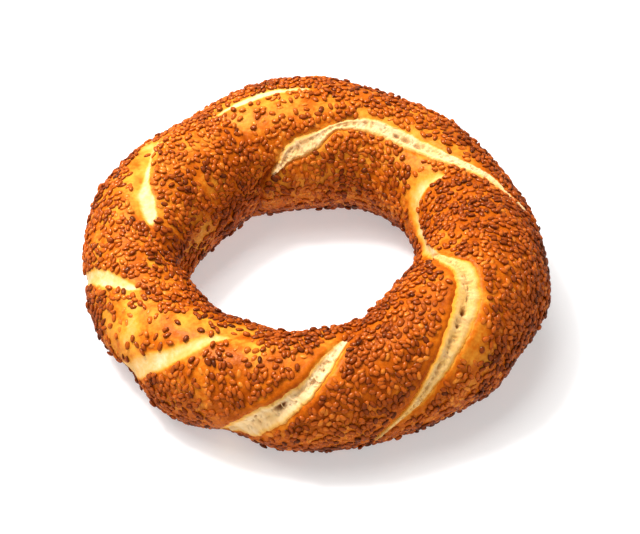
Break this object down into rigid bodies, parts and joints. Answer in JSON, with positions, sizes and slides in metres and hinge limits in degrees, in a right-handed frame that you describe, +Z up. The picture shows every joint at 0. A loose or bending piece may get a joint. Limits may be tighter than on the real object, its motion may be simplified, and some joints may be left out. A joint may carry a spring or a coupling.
{
  "type": "simit",
  "caption": "Sesame-coated bread ring twisted from ropes of dough, split open along the twist, with a flat underside that it rests on.",
  "frame": {"origin": "centre of the ring's outline, on the plane of its flat underside", "axes": "+Z up through the ring's hole, +X to the right and +Y to the back as the thickest part of the rope lies to the right"},
  "size_m": [0.1648, 0.164, 0.0464],
  "materials": {
    "crust": "baked bread crust, golden to reddish brown, under a coat of toasted sesame seeds"
  },
  "bodies": {
    "root": {"bread_ring": "crust"}
  },
  "joints": []
}
